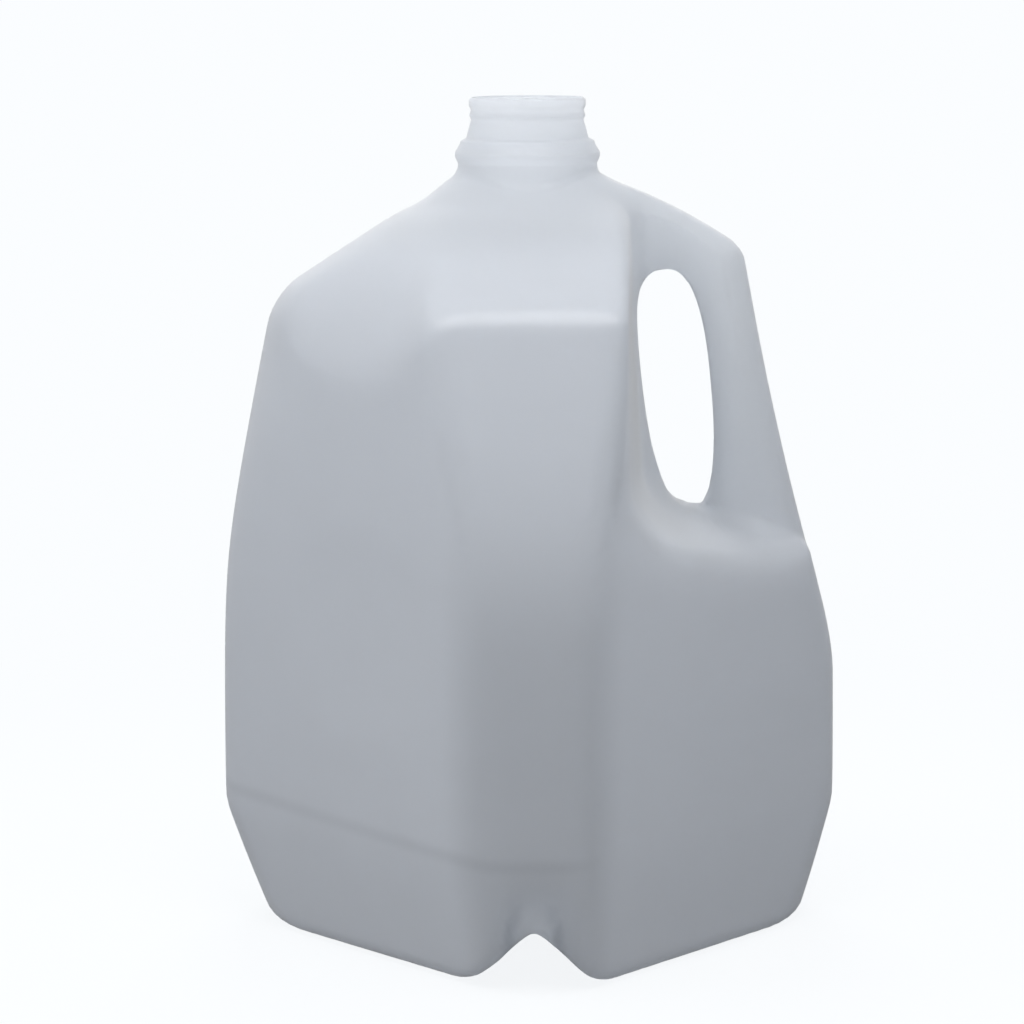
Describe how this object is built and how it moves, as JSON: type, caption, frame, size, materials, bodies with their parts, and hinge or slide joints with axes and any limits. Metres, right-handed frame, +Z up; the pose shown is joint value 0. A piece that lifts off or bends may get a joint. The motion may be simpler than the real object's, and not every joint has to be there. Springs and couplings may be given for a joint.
{
  "type": "milk jug",
  "caption": "Empty blow-moulded one-gallon milk jug with a square body, sloping shoulders, open beaded neck, hollow side handle and notched base.",
  "frame": {"origin": "centre of the base on the floor plane, under the neck's axis", "axes": "+Z up along the neck's axis, +X towards the handle, Y across the mould's parting plane y = 0"},
  "size_m": [0.1953, 0.183, 0.262],
  "materials": {
    "plastic": "satin"
  },
  "bodies": {
    "root": {"jug": "plastic"}
  },
  "joints": []
}
